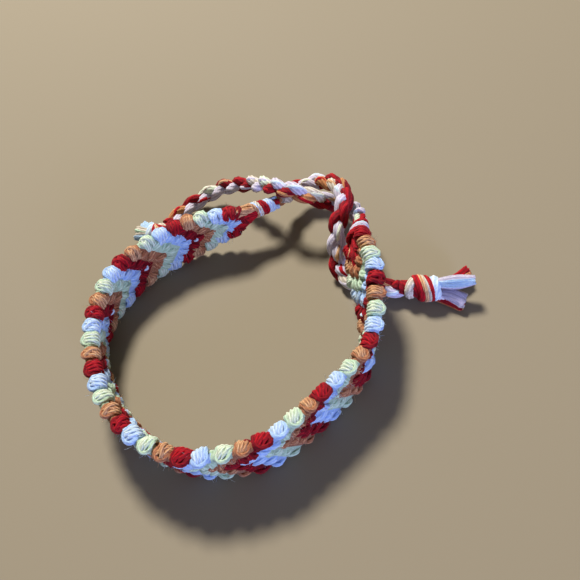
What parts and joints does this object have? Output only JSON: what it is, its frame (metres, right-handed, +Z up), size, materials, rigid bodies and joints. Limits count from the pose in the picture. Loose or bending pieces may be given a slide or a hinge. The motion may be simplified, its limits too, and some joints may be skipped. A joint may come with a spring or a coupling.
{
  "type": "woven bracelet",
  "caption": "Knotted chevron bracelet of coloured cotton floss, tied closed by crossing braided tails with stopper knots and cut fringes.",
  "frame": {"origin": "Middle of the bracelet's box seen from above, on the surface that it lies on.", "axes": "+Z is up, across the band's width. +Y points to the far side, where the band starts, and +X to the side where the two braided tails cross and tie it closed."},
  "size_m": [0.0699, 0.067, 0.0127],
  "materials": {
    "knotted_floss": "matt cotton floss knotted in rows of crimson, white, pale lime and peach",
    "braided_floss": "matt cotton floss in three braided bundles, with a soft sheen along the strands",
    "cut_floss": "loose cut ends of cotton floss, a little frayed"
  },
  "bodies": {
    "root": {"band": "knotted_floss", "start_wrap": "knotted_floss", "end_wrap": "knotted_floss", "start_braid": "braided_floss", "end_braid": "braided_floss", "start_knot": "braided_floss", "end_knot": "braided_floss", "start_fringe": "cut_floss", "end_fringe": "cut_floss"}
  },
  "joints": []
}
